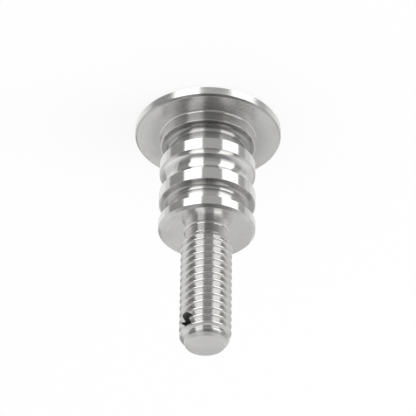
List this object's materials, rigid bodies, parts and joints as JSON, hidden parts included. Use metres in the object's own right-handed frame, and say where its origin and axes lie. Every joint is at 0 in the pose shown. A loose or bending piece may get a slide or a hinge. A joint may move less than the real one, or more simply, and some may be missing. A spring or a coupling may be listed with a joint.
{
  "type": "pivot bolt",
  "caption": "Turned steel pivot bolt: thin round flange head, grooved journal shoulder, necked thread stem crossed by a split-pin hole.",
  "frame": {"origin": "centre of the head's outer face, which the bolt stands on", "axes": "+Z along the turning axis from the head to the threaded tip, +X along the split-pin hole"},
  "size_m": [0.023, 0.023, 0.0401],
  "materials": {
    "turned_steel": "turned stainless steel, fine lathe marks, semi-bright"
  },
  "bodies": {
    "root": {"pivot_bolt": "turned_steel"}
  },
  "joints": []
}
